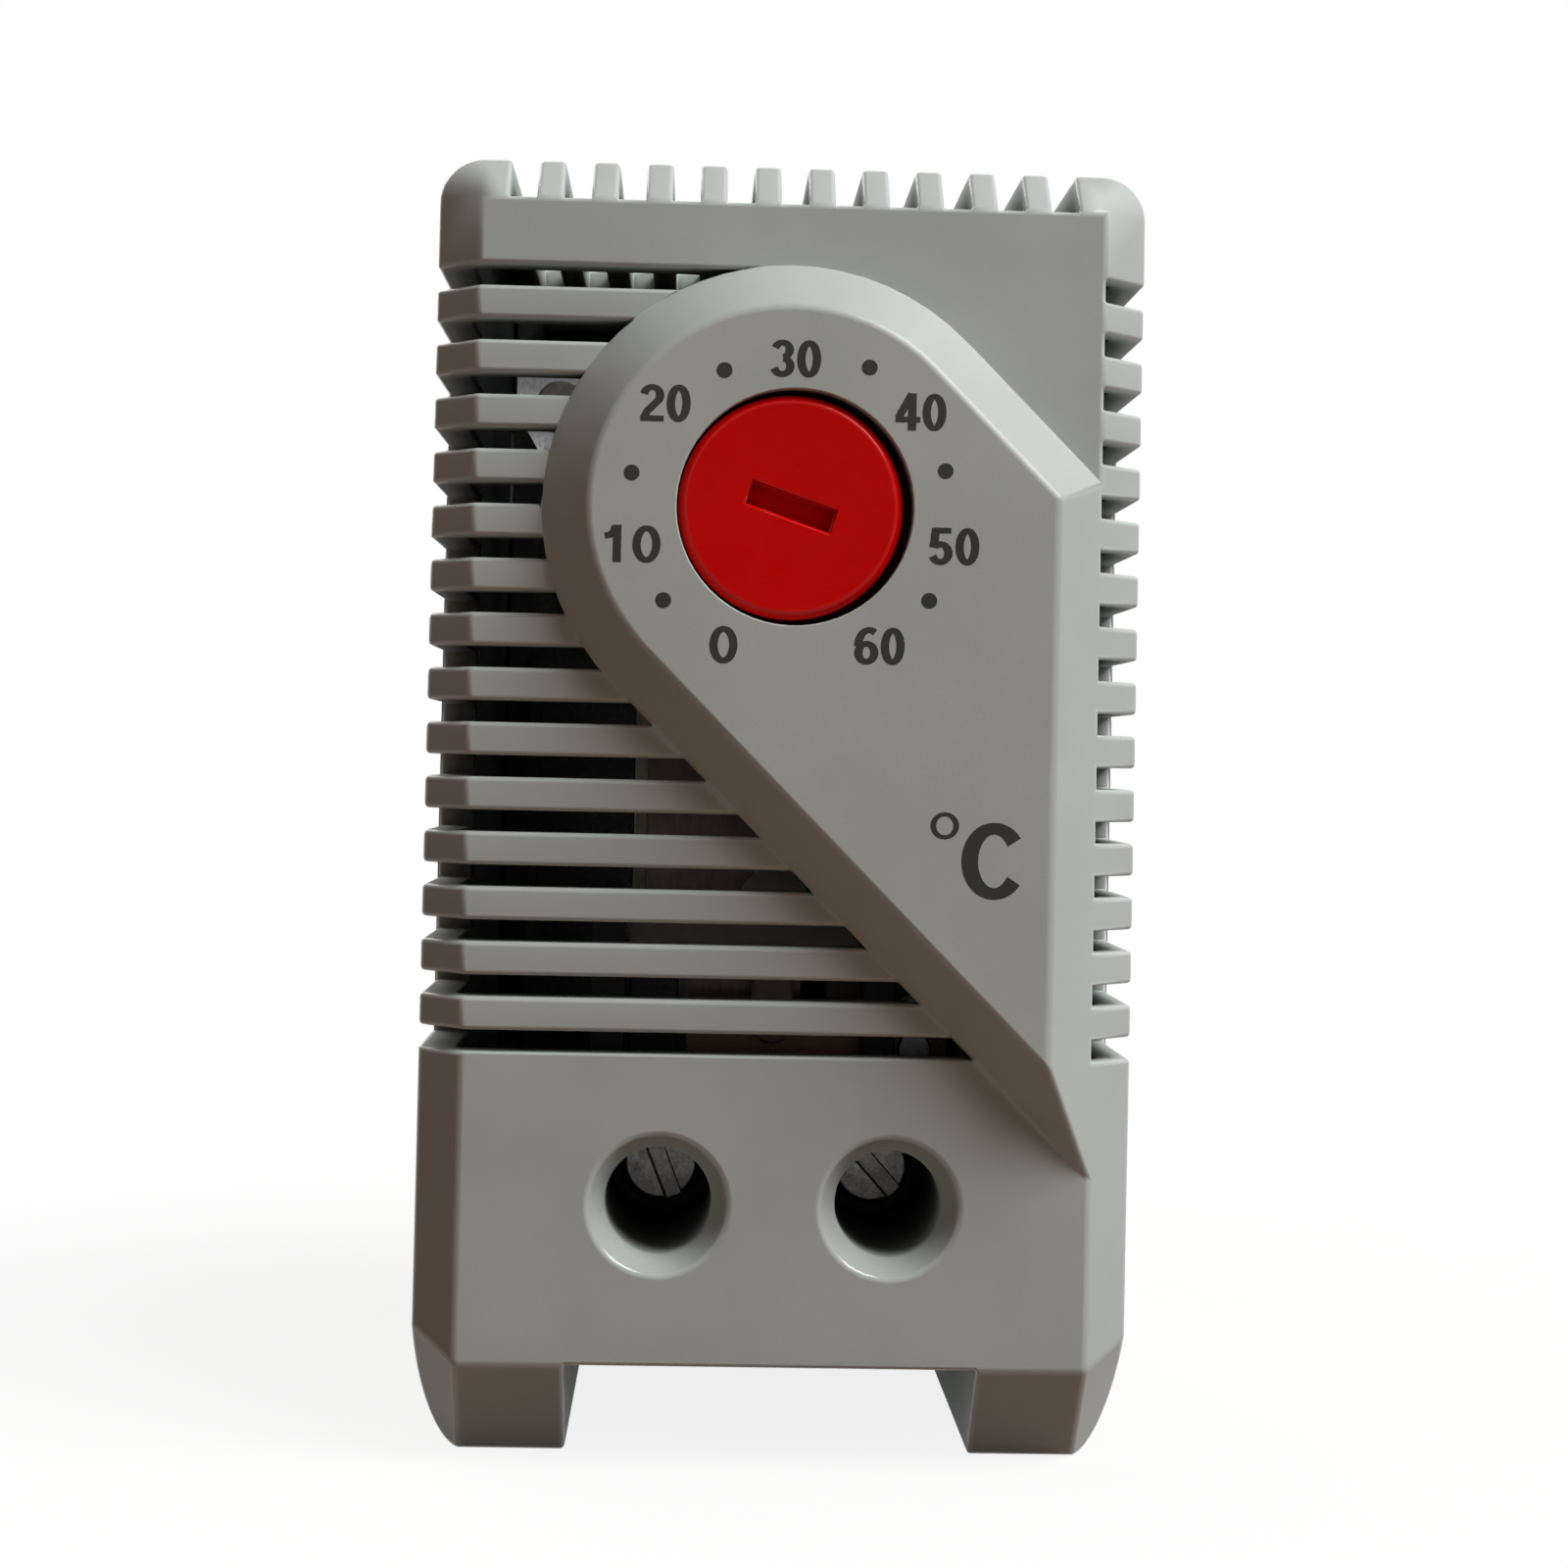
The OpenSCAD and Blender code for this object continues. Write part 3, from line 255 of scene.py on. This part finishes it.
# Which finish each node has, and how wide its edges are rounded, in millimetres: 0 leaves them sharp
DRESS = {
    "front_shell": (grey_polyamide, 0.22), "rear_base": (grey_polyamide, 0.15),
    "inner_frame": (black_polyamide, 0.12), "dial_knob": (red_polyester, 0.12),
    "dial_cam": (white_acetal, 0), "setting_lever": (lever_polyester, 0.12),
    "lever_spring": (spring_wire, 0), "contact_leaf": (rolled_bronze, 0.04),
    "fixed_contact": (fine_silver, 0.05), "leaf_rivets": (plated_rivet, 0.08),
    "bimetal_strip": (thermostat_metal, 0.06), "moving_contact": (fine_silver, 0.05),
    "armature": (zinc_steel, 0.06), "bimetal_bracket": (zinc_steel, 0.1),
    "bimetal_rivets": (plated_rivet, 0.08), "calibration_screw": (zinc_screw, 0.08),
    "snap_magnet": (ferrite, 0.12), "busbar_left": (tinned_brass, 0.1),
    "busbar_right": (tinned_brass, 0.1), "terminal_cage_left": (zinc_steel, 0.2),
    "terminal_cage_right": (zinc_steel, 0.2), "terminal_screw_left": (zinc_screw, 0.08),
    "terminal_screw_right": (zinc_screw, 0.08), "rail_latch": (grey_polyamide, 0.15),
    "latch_spring": (spring_wire, 0),
}
# Nodes whose rounded edges have a finish of their own
EDGE_FINISH = {
    "front_shell": burnished_polyamide, "rear_base": burnished_polyamide, "rail_latch": burnished_polyamide,
    "dial_knob": burnished_polyester,
}
# Points this close are one, and facets that turn by less than this are one flat
SAME_POINT_MM, FLAT_TURN = 0.0005, math.radians(0.5)
# Edges that turn by more than this are rounded, in that many steps, and inward ones by a smaller share
SHARP_TURN, ROUND_STEPS, INWARD_SHARE = math.radians(20), 3, 0.25
# On the front shell two rings round the knob's axis are rounded by a smaller share too: the opening's rim,
# out to the first radius in millimetres, and the foot of the raised panel, between the other two
FINE_SHARE, RIM_R_MM, FOOT_R_MM = 0.3, 5.8, (11.15, 11.4)
# How far the panel is raised, the radius of the terminal wells' lips, and how far behind the face these lie
PANEL_RISE_MM, LIP_R_MM, LIP_DEPTH_MM = 2.2, 3.3, (0.05, 1.2)
# How strongly large faces pull the shading of their corners: 50 is neutral
FACE_PULL = 90


def shape_nodes(name):
    """A group of geometry nodes for a modifier: its tree, and the node that brings the shape in."""
    tree = bpy.data.node_groups.new(name, "GeometryNodeTree")
    for way in ("INPUT", "OUTPUT"):
        tree.interface.new_socket("Geometry", in_out=way, socket_type="NodeSocketGeometry")
    return tree, add(tree, "NodeGroupInput", {}, {})


def distance_from(tree, name):
    """How far a point lies from the axis along Y through the middle of a node."""
    low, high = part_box(name)
    middle = (low + high) / 2
    place = add(tree, "GeometryNodeInputPosition", {}, {})
    flat = add(tree, "ShaderNodeVectorMath", {"operation": "MULTIPLY"}, {0: place, 1: (1, 0, 1)})
    return add(tree, "ShaderNodeVectorMath", {"operation": "DISTANCE"}, {
        0: flat, 1: (middle.x, 0, middle.z)}).outputs["Value"]


def edge_plan(name):
    """Geometry nodes that weigh a node's edges for rounding."""
    tree, shape = shape_nodes(name + "_edges")
    turn = add(tree, "GeometryNodeInputMeshEdgeAngle", {}, {}).outputs["Signed Angle"]
    outward = add(tree, "ShaderNodeMath", {"operation": "GREATER_THAN"}, {0: turn, 1: SHARP_TURN})
    inward = add(tree, "ShaderNodeMath", {"operation": "LESS_THAN"}, {0: turn, 1: -SHARP_TURN})
    weight = add(tree, "ShaderNodeMath", {"operation": "MULTIPLY_ADD"}, {
        0: inward, 1: INWARD_SHARE, 2: outward})
    if name == "front_shell":
        far = distance_from(tree, "dial_knob")
        rim = add(tree, "ShaderNodeMath", {"operation": "LESS_THAN"}, {0: far, 1: RIM_R_MM * MM})
        foot = add(tree, "ShaderNodeMath", {"operation": "COMPARE"}, {
            0: far, 1: sum(FOOT_R_MM) / 2 * MM, 2: (FOOT_R_MM[1] - FOOT_R_MM[0]) / 2 * MM})
        fine = add(tree, "ShaderNodeMath", {"operation": "ADD"}, {0: rim, 1: foot})
        share = add(tree, "ShaderNodeMath", {"operation": "MULTIPLY_ADD"}, {
            0: fine, 1: FINE_SHARE - 1, 2: 1.0})
        weight = add(tree, "ShaderNodeMath", {"operation": "MULTIPLY"}, {0: weight, 1: share})
    weighed = add(tree, "GeometryNodeStoreNamedAttribute", {"data_type": "FLOAT", "domain": "EDGE"}, {
        "Geometry": shape, "Name": "bevel_weight_edge", "Value": weight})
    add(tree, "NodeGroupOutput", {}, {0: weighed})
    return tree


def lip_plan():
    """Geometry nodes that give the lips of the terminal wells the front shell's third finish."""
    tree, shape = shape_nodes("lips")
    beside = add(tree, "ShaderNodeMath", {"operation": "MINIMUM"}, {
        0: distance_from(tree, "terminal_screw_left"), 1: distance_from(tree, "terminal_screw_right")})
    near = add(tree, "ShaderNodeMath", {"operation": "LESS_THAN"}, {0: beside, 1: LIP_R_MM * MM})
    place = add(tree, "GeometryNodeInputPosition", {}, {})
    lip_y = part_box("front_shell")[0].y + (PANEL_RISE_MM + sum(LIP_DEPTH_MM) / 2) * MM
    behind = add(tree, "ShaderNodeMath", {"operation": "COMPARE"}, {
        0: add(tree, "ShaderNodeSeparateXYZ", {}, {0: place}).outputs["Y"],
        1: lip_y, 2: (LIP_DEPTH_MM[1] - LIP_DEPTH_MM[0]) / 2 * MM})
    lip = add(tree, "ShaderNodeMath", {"operation": "MULTIPLY"}, {0: near, 1: behind})
    polished = add(tree, "GeometryNodeSetMaterialIndex", {}, {
        "Geometry": shape, "Selection": lip, "Material Index": 2})
    add(tree, "NodeGroupOutput", {}, {0: polished})
    return tree


def dress(node, material, round_mm):
    """Gives a node its finish and, with modifiers that leave its mesh alone, rounded edges."""
    node.data.materials.clear()
    node.data.materials.append(material)
    weld = node.modifiers.new("weld", "WELD")
    weld.merge_threshold = SAME_POINT_MM * MM
    if round_mm:
        flat = node.modifiers.new("flats", "DECIMATE")
        flat.decimate_type = "DISSOLVE"
        flat.angle_limit = FLAT_TURN
        weigh = node.modifiers.new("edge_plan", "NODES")
        weigh.node_group = edge_plan(node.name)
        edge = node.modifiers.new("rounded_edges", "BEVEL")
        edge.width = round_mm * MM
        edge.segments = ROUND_STEPS
        edge.limit_method = "WEIGHT"
        edge.use_clamp_overlap = False
        if node.name in EDGE_FINISH:
            node.data.materials.append(EDGE_FINISH[node.name])
            edge.material = 1
    if node.name == "front_shell":
        node.data.materials.append(polished_polyamide)
        lips = node.modifiers.new("lips", "NODES")
        lips.node_group = lip_plan()
    shade = node.modifiers.new("shading", "WEIGHTED_NORMAL")
    shade.keep_sharp = not round_mm
    shade.weight = FACE_PULL


for name, (material, round_mm) in DRESS.items():
    dress(nodes[name], material, round_mm)


# Springs: round wire with closed end turns, in the place of the six-sided coils of the solids

WIRE_MM = 0.35
# The closed turns at each end, and their pitch as a share of the wire's thickness
END_TURNS, END_PITCH_SHARE = 0.9, 1.06
WIRE_SIDES, RINGS_PER_TURN = 12, 28
# How far apart, in turns, two points on the wire are that give its direction
STEP_TURNS = 0.01


def new_piece(name, bm, material):
    """A mesh piece of that finish from a bmesh."""
    mesh = bpy.data.meshes.new(name)
    bm.to_mesh(mesh)
    bm.free()
    mesh.materials.append(material)
    piece = bpy.data.objects.new(name, mesh)
    bpy.context.scene.collection.objects.link(piece)
    return piece


def coil_spring(name, node, axis, turns):
    """A compression spring that fills the node's box, its axis along Y or Z: the piece and its two ends."""
    low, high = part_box(node)
    along = Vector((0, 1, 0)) if axis == "Y" else Vector((0, 0, 1))
    across = Vector((1, 0, 0))
    up = along.cross(across)
    middle, half = (low + high) / 2, along * (high - low).dot(along) / 2
    length = (high - low).dot(along) - WIRE_MM * MM
    radius = ((high - low).x - WIRE_MM * MM) / 2
    start = middle - along * length / 2
    end_rise = END_TURNS * WIRE_MM * END_PITCH_SHARE * MM
    count = turns * RINGS_PER_TURN

    def outward_at(turn):
        angle = 2 * math.pi * turn
        return across * math.cos(angle) + up * math.sin(angle)

    def centre_line(turn):
        if turn < END_TURNS:
            rise = turn / END_TURNS * end_rise
        elif turn > turns - END_TURNS:
            rise = length - (turns - turn) / END_TURNS * end_rise
        else:
            rise = end_rise + (turn - END_TURNS) / (turns - 2 * END_TURNS) * (length - 2 * end_rise)
        return start + along * rise + outward_at(turn) * radius

    bm = bmesh.new()
    rings = []
    for i in range(count + 1):
        turn = turns * i / count
        ahead, behind = min(turn + STEP_TURNS, turns), max(turn - STEP_TURNS, 0)
        outward = outward_at(turn)
        side = (centre_line(ahead) - centre_line(behind)).normalized().cross(outward).normalized()
        rings.append([
            bm.verts.new(centre_line(turn) + (outward * math.cos(a) + side * math.sin(a)) * WIRE_MM * MM / 2)
            for a in (2 * math.pi * k / WIRE_SIDES for k in range(WIRE_SIDES))])
    for a, b in zip(rings, rings[1:]):
        for k in range(WIRE_SIDES):
            bm.faces.new((a[k - 1], a[k], b[k], b[k - 1])).smooth = True
    bm.faces.new(rings[0])
    bm.faces.new(list(reversed(rings[-1])))
    bmesh.ops.recalc_face_normals(bm, faces=bm.faces)
    piece = new_piece(name, bm, spring_wire)
    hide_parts(node)
    return piece, middle - half, middle + half


lever_coil, lever_end, case_end = coil_spring("lever_spring_coil", "lever_spring", "Y", 6)
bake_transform(lever_coil)
latch_coil, low_end, latch_end = coil_spring("latch_spring_coil", "latch_spring", "Z", 7)
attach(latch_coil, "case")
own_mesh(latch_coil)


# Printed scale: strokes of ink laid on the panel

PANEL_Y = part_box("front_shell")[0].y
# How far the ink stands proud of the panel, and how much more each further stroke of a letter does
INK_MM = 0.006
STROKE_STEP_MM = 0.002
# The print sits a hair low and right of the dial's axis
PRINT_X_MM, PRINT_Z_MM = 0.08, 13.56
NUMERAL_H_MM, NUMERAL_GAP_MM, WIDE_GAP_MM = 1.68, 0.1, 0.45
# The width of a stroke as a share of the letter's height, and how much thinner strokes are that run level
STROKE_SHARE = 0.225
LEVEL_THINNER_SHARE = 0.3
# The sharpest corner of a stroke whose mitre still grows, as the cosine of half its turn
MITRE_LIMIT = 0.4
# The points round a letter's bowl and round a dot
BOWL_POINTS, DOT_POINTS = 28, 32


def arc(cx, cz, rx, rz, turn0, turn1, steps=14):
    """Points of an ellipse from one turn to another, in degrees from the right."""
    turns = [math.radians(turn0 + (turn1 - turn0) * i / steps) for i in range(steps + 1)]
    return [(cx + rx * math.cos(turn), cz + rz * math.sin(turn)) for turn in turns]


def whole_round(cx, cz, rx, rz, steps=BOWL_POINTS):
    """Points of a whole ellipse, the first not repeated."""
    return arc(cx, cz, rx, rz, 0, 360, steps)[:-1]


# Each letter is its width and its strokes, in shares of its height: each one's middle line, and if it closes
LETTER_SHARES = {
    "0": (0.64, [(whole_round(0.32, 0.5, 0.21, 0.425), True)]),
    "O": (0.76, [(whole_round(0.38, 0.5, 0.265, 0.425), True)]),
    "1": (0.5, [([(0.36, 0), (0.36, 1)], False),
                ([(0.03, 0.7), (0.17, 0.73), (0.27, 0.81), (0.31, 0.95)], False)]),
    "2": (0.66, [(arc(0.325, 0.7, 0.215, 0.22, 172, -34) + [(0.2, 0.27), (0.12, 0.1)], False),
                 ([(0.02, 0.08), (0.65, 0.08)], False)]),
    "3": (0.66, [(arc(0.32, 0.73, 0.195, 0.195, 165, -84), False),
                 (arc(0.32, 0.29, 0.22, 0.215, 84, -165), False)]),
    "4": (0.68, [([(0.44, 0.98), (0.09, 0.33)], False), ([(0.01, 0.29), (0.68, 0.29)], False),
                 ([(0.46, 0), (0.46, 1)], False)]),
    "5": (0.66, [([(0.6, 0.92), (0.15, 0.92)], False), ([(0.19, 0.98), (0.13, 0.46)], False),
                 (arc(0.315, 0.315, 0.22, 0.24, 130, -160), False)]),
    "6": (0.66, [(whole_round(0.335, 0.315, 0.215, 0.24), True),
                 (arc(0.405, 0.5, 0.29, 0.425, 58, 182), False)]),
    "C": (0.84, [(arc(0.42, 0.5, 0.315, 0.42, 36, 324, 30), False)]),
    "o": (1.0, [(whole_round(0.5, 0.5, 0.41, 0.41), True)]),
}


def ribbon(bm, points, width, closed, y0, y1):
    """A flat band of that width along points in X and Z, with thickness from y0 to y1."""
    count = len(points)
    sides = []
    for i, here in enumerate(points):
        before = points[i - 1] if i or closed else here
        after = points[(i + 1) % count] if i + 1 < count or closed else here
        a, b = (here - before), (after - here)
        a = a.normalized() if a.length else b.normalized()
        b = b.normalized() if b.length else a
        along = (a + b).normalized()
        reach = width / 2 / max(along.dot(a), MITRE_LIMIT) * (1 - LEVEL_THINNER_SHARE * along.x ** 2)
        across = Vector((-along.y, along.x)) * reach
        sides.append([bm.verts.new((p.x, y, p.y)) for y in (y0, y1) for p in (here + across, here - across)])
    for i in range(count if closed else count - 1):
        a, b = sides[i], sides[(i + 1) % count]
        for j, k in ((0, 1), (1, 3), (3, 2), (2, 0)):
            bm.faces.new((a[j], a[k], b[k], b[j]))
    if not closed:
        for end in (sides[0], sides[-1]):
            bm.faces.new((end[0], end[1], end[3], end[2]))


def print_word(name, word, centre, height, stroke_share=STROKE_SHARE, gap_mm=NUMERAL_GAP_MM):
    """A word in ink, its middle at centre, all in millimetres on the panel."""
    bm = bmesh.new()
    widths = [LETTER_SHARES[c][0] * height for c in word]
    x = centre[0] - (sum(widths) + gap_mm * (len(word) - 1)) / 2
    for letter, wide in zip(word, widths):
        for i, (points, closed) in enumerate(LETTER_SHARES[letter][1]):
            line = [Vector((x + px * height, centre[1] + (pz - 0.5) * height)) * MM for px, pz in points]
            rise = (INK_MM + i * STROKE_STEP_MM) * MM
            ribbon(bm, line, stroke_share * height * MM, closed, PANEL_Y - rise, PANEL_Y + INK_MM * MM)
        x += wide + gap_mm
    bmesh.ops.recalc_face_normals(bm, faces=bm.faces)
    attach(new_piece(name, bm, scale_ink), "case")


def print_dot(name, centre, radius):
    """A round dot of ink at centre, in millimetres on the panel."""
    bm = bmesh.new()
    rim = [Vector(p) * MM for p in whole_round(*centre, radius, radius, DOT_POINTS)]
    front = [bm.verts.new((p.x, PANEL_Y - INK_MM * MM, p.y)) for p in rim]
    back = [bm.verts.new((p.x, PANEL_Y + INK_MM * MM, p.y)) for p in rim]
    bm.faces.new(front)
    for i in range(len(rim)):
        bm.faces.new((front[i - 1], front[i], back[i], back[i - 1]))
    bmesh.ops.recalc_face_normals(bm, faces=bm.faces)
    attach(new_piece(name, bm, scale_ink), "case")


def on_dial(radius, turn):
    """A place on the panel by its distance from the print's middle and its clockwise turn from the top."""
    angle = math.radians(turn)
    return (PRINT_X_MM + radius * math.sin(angle), PRINT_Z_MM + radius * math.cos(angle))


# The distance in millimetres and the turn in degrees of each numeral and dot, as the screen printed them:
# the low numerals have a wide zero, written O here, and the 10 is set wide
NUMERALS = {"O": (6.78, -154), "1O": (7.36, -103), "20": (7.5, -51), "30": (6.88, 0),
            "40": (7.33, 51), "50": (7.46, 101), "60": (7.23, 146)}
DOTS = [(7.07, -126), (7.43, -78), (7.04, -27), (7.37, 27), (7.15, 74), (7.37, 122)]
DOT_RADIUS_MM = 0.36
for word, (far, turn) in NUMERALS.items():
    gap = WIDE_GAP_MM if word == "1O" else NUMERAL_GAP_MM
    print_word("scale_" + word.replace("O", "0"), word, on_dial(far, turn), NUMERAL_H_MM, gap_mm=gap)
for i, (far, turn) in enumerate(DOTS):
    print_dot("scale_dot_%d" % (i + 1), on_dial(far, turn), DOT_RADIUS_MM)
print_word("degree_letter", "C", centre=(9.5, -2.0), height=3.5, stroke_share=0.215)
print_word("degree_ring", "o", centre=(7.24, -0.45), height=1.26, stroke_share=0.21)


# Floor, surroundings and lamps

# A hair below the feet, so that the two never lie in one plane
FLOOR_Z_MM = -30.05
FLOOR_REACH_M = 3
# How much of the feet's shadow the white sheet keeps, and between which distances from its middle that fades
SHADOW_SHARE, SHADOW_FADES_MM = 0.15, (15, 80)
WHITE = linear("#ffffff")
# The warm, dim fill that lights the part from the floor and from all round
WARM_FLOOR, WARM_FILL, FILL_STRENGTH = linear("#755a48"), linear("#522d1a"), 0.62


def seen_directly(tree):
    """1 for what the camera, a mirror or a glass sees, 0 for light that falls on the part."""
    path = add(tree, "ShaderNodeLightPath", {}, {})
    first = add(tree, "ShaderNodeMath", {"operation": "MAXIMUM"}, {
        0: path.outputs["Is Camera Ray"], 1: path.outputs["Is Glossy Ray"]})
    return add(tree, "ShaderNodeMath", {"operation": "MAXIMUM"}, {
        0: first, 1: path.outputs["Is Transmission Ray"]})


def make_floor():
    """A white sheet that keeps a soft shadow near the feet and fades to plain white further out.

    Its underside is clear, so that the part can be looked at from below."""
    bm = bmesh.new()
    bmesh.ops.create_grid(bm, x_segments=1, y_segments=1, size=FLOOR_REACH_M)
    material, tree = new_material("white_sheet")
    place = add(tree, "ShaderNodeTexCoord", {}, {}).outputs["Object"]
    far = add(tree, "ShaderNodeVectorMath", {"operation": "LENGTH"}, {0: place}).outputs["Value"]
    share = add(tree, "ShaderNodeMapRange", {"interpolation_type": "SMOOTHSTEP"}, {
        "Value": far, "From Min": SHADOW_FADES_MM[0] * MM, "From Max": SHADOW_FADES_MM[1] * MM,
        "To Min": SHADOW_SHARE, "To Max": 0.0})
    lit = add(tree, "ShaderNodeBsdfDiffuse", {}, {"Color": WHITE})
    plain = add(tree, "ShaderNodeEmission", {}, {"Color": WHITE, "Strength": 1.0})
    sheet = add(tree, "ShaderNodeMixShader", {}, {0: share, 1: plain, 2: lit})
    warm = add(tree, "ShaderNodeBsdfDiffuse", {}, {"Color": WARM_FLOOR})
    both = add(tree, "ShaderNodeMixShader", {}, {0: seen_directly(tree), 1: warm, 2: sheet})
    under = add(tree, "ShaderNodeNewGeometry", {}, {}).outputs["Backfacing"]
    clear = add(tree, "ShaderNodeBsdfTransparent", {}, {})
    surface = add(tree, "ShaderNodeMixShader", {}, {0: under, 1: both, 2: clear})
    add(tree, "ShaderNodeOutputMaterial", {}, {"Surface": surface})
    floor = new_piece("floor", bm, material)
    floor.location = (0, 0, FLOOR_Z_MM * MM)
    # It takes shadows but casts none, so that the recess shading of the mouldings passes it over
    floor.visible_shadow = False


def make_world():
    """Surroundings that look white and light the part with the warm, dim fill."""
    world = bpy.data.worlds.new("studio")
    world.use_nodes = True
    tree = world.node_tree
    tree.nodes.clear()
    fill = add(tree, "ShaderNodeBackground", {}, {"Color": WARM_FILL, "Strength": FILL_STRENGTH})
    white = add(tree, "ShaderNodeBackground", {}, {"Color": WHITE, "Strength": 1.0})
    both = add(tree, "ShaderNodeMixShader", {}, {0: seen_directly(tree), 1: fill, 2: white})
    add(tree, "ShaderNodeOutputWorld", {}, {"Surface": both})
    bpy.context.scene.world = world


def soft_light(name, direction, distance, size, watts, colour):
    """A square lamp that far from the part, in metres, facing it."""
    data = bpy.data.lights.new(name, "AREA")
    data.shape = "SQUARE"
    data.size, data.energy, data.color = size, watts, linear(colour)[:3]
    lamp = bpy.data.objects.new(name, data)
    toward = Vector(direction).normalized()
    lamp.location = toward * distance
    lamp.rotation_mode = "QUATERNION"
    lamp.rotation_quaternion = toward.to_track_quat("Z", "Y")
    bpy.context.scene.collection.objects.link(lamp)


make_floor()
make_world()
soft_light("front_lamp", (0.57, -0.37, 0.735), distance=0.6, size=0.35, watts=3.75, colour="#fffdfa")
soft_light("back_lamp", (-0.5, 0.8, 0.45), distance=0.7, size=0.5, watts=2.4, colour="#fffaf2")
bpy.context.scene.view_settings.view_transform = "Standard"
